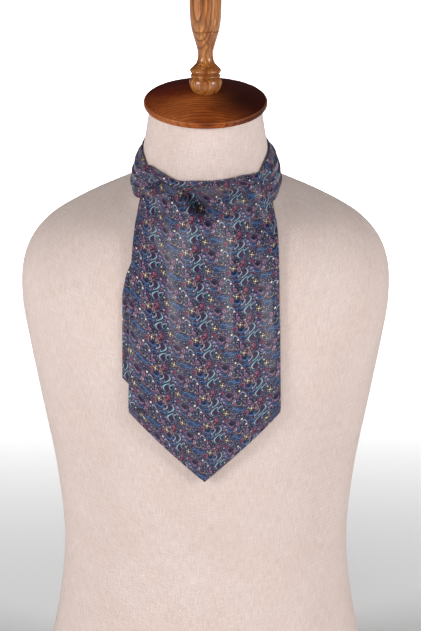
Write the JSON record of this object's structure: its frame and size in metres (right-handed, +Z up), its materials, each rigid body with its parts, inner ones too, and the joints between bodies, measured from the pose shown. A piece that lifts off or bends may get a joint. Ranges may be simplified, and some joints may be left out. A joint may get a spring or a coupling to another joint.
{
  "type": "silk cravat on a limbless dress form",
  "caption": "Day cravat folded over a pleated neckband, its front blade puffed and falling to a point, worn on a half-torso dress form with a turned wooden neck cap and finial.",
  "frame": {"origin": "the middle of the form's flat underside, on the surface it stands on", "axes": "+Z up, the front of the form and of the cravat faces -Y, +X is the wearer's left"},
  "size_m": [0.3742, 0.2458, 0.775],
  "materials": {
    "band_silk": "printed silk twill",
    "blade_silk": "printed silk twill",
    "under_silk": "printed silk twill",
    "linen": "plain woven cover",
    "cap_wood": "varnished",
    "finial_wood": "varnished"
  },
  "bodies": {
    "root": {"cravat_band": "band_silk", "cravat_front_blade": "blade_silk", "cravat_under_blade": "under_silk", "form_torso": "linen", "form_neck_cap": "cap_wood", "form_finial": "finial_wood"}
  },
  "joints": []
}
